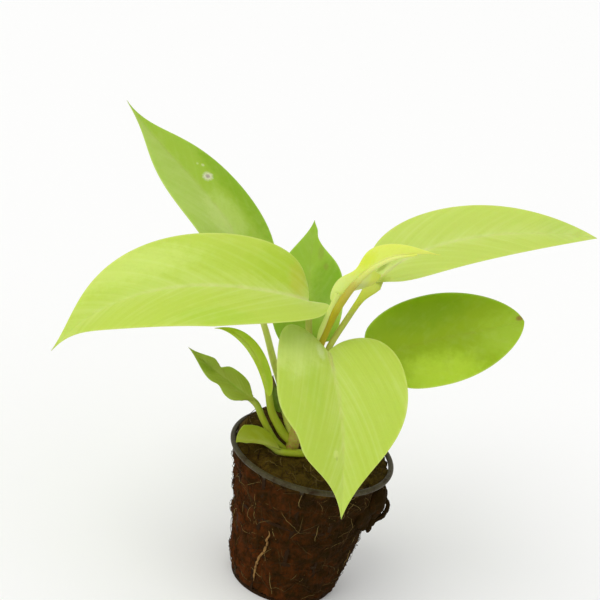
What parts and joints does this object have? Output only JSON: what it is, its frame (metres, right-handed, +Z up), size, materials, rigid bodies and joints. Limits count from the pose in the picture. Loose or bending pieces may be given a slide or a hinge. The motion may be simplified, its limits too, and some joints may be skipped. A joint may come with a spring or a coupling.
{
  "type": "potted philodendron seedling",
  "caption": "Young philodendron with broad pointed lime-green leaves on slim stalks, growing in coir in a small ribbed net pot that stands on its flat base.",
  "frame": {"origin": "centre of the pot's base, on the surface that it stands on", "axes": "+Z up, -Y towards the side with the hanging heart-shaped leaf, +X to the right seen from there"},
  "size_m": [0.1536, 0.07, 0.1363],
  "materials": {
    "pot_plastic": "satin grey-olive plastic",
    "coir": "moist dark brown coir with fine fibres",
    "root": "matt tan root",
    "stem": "satin olive-brown stem with red specks",
    "leaf_lime": "satin lime-green leaf",
    "leaf_mid": "satin yellow-green leaf",
    "leaf_dark": "satin deep-green leaf",
    "leaf_young": "satin bright yellow-green young leaf",
    "leaf_dull": "satin dull-green leaf",
    "dry_sheath": "matt dried red-brown leaf sheath"
  },
  "bodies": {
    "root": {"net_pot": "pot_plastic", "coir_plug": "coir", "outer_root": "root", "main_stem": "stem", "leaf_left_large": "leaf_lime", "leaf_upper_left": "leaf_mid", "leaf_back": "leaf_mid", "leaf_front_heart": "leaf_lime", "leaf_right_upper": "leaf_lime", "leaf_right_lower": "leaf_dark", "leaf_new": "leaf_young", "leaf_small_left": "leaf_dull", "leaf_narrow_left": "leaf_mid", "leaf_at_rim": "leaf_dark", "sheath_dried": "dry_sheath"}
  },
  "joints": []
}
